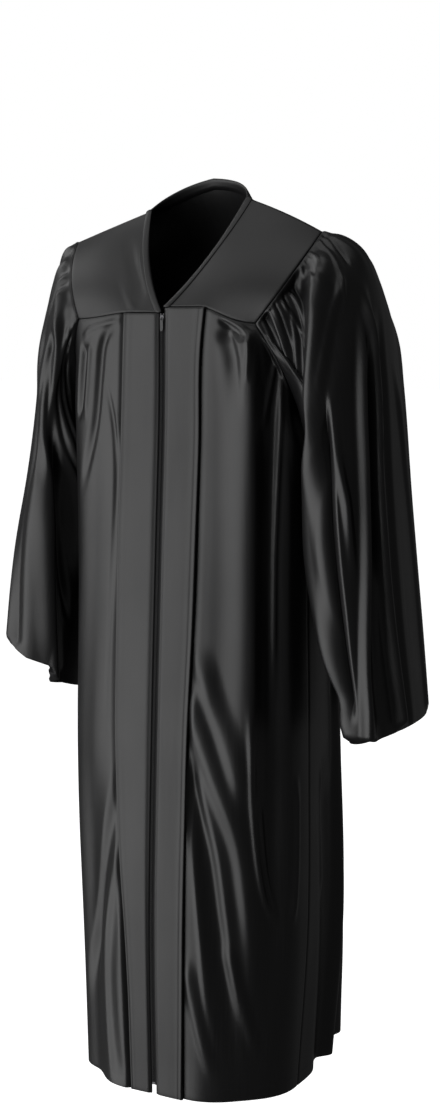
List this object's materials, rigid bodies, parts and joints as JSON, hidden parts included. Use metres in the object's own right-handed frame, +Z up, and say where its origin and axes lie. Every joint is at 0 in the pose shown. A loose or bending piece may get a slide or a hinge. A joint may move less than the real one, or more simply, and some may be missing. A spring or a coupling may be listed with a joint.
{
  "type": "graduation gown",
  "caption": "Full-length hollow gown with front and back yokes, a V neck, flat front bands beside a closed zip, and gathered bell sleeves.",
  "frame": {"origin": "midway between the shoulder seams' ends at the neck, where the wearer's shoulders carry the gown", "axes": "+Z up, -Y the gown's front, +X the wearer's left"},
  "size_m": [0.6749, 0.3972, 1.367],
  "materials": {
    "gown_satin": "black satin with a soft sheen",
    "zip_tape": "black woven tape",
    "zip_metal": "polished"
  },
  "bodies": {
    "gown": {"front_yoke_left": "gown_satin", "front_yoke_right": "gown_satin", "back_yoke": "gown_satin", "front_left": "gown_satin", "front_right": "gown_satin", "band_left": "gown_satin", "band_right": "gown_satin", "back": "gown_satin", "sleeve_left": "gown_satin", "sleeve_right": "gown_satin", "zip_tape_left": "zip_tape", "zip_tape_right": "zip_tape", "zip_chain": "zip_tape", "zip_slider": "zip_metal"},
    "zip_pull": {"zip_pull": "zip_metal"}
  },
  "joints": [
    {"name": "pull_hinge", "type": "hinge", "parent": "gown", "child": "zip_pull", "pos_m": [0, -0.09989, -0.17075], "axis": [-1, 0, 0], "range_deg": [0, 150]}
  ]
}
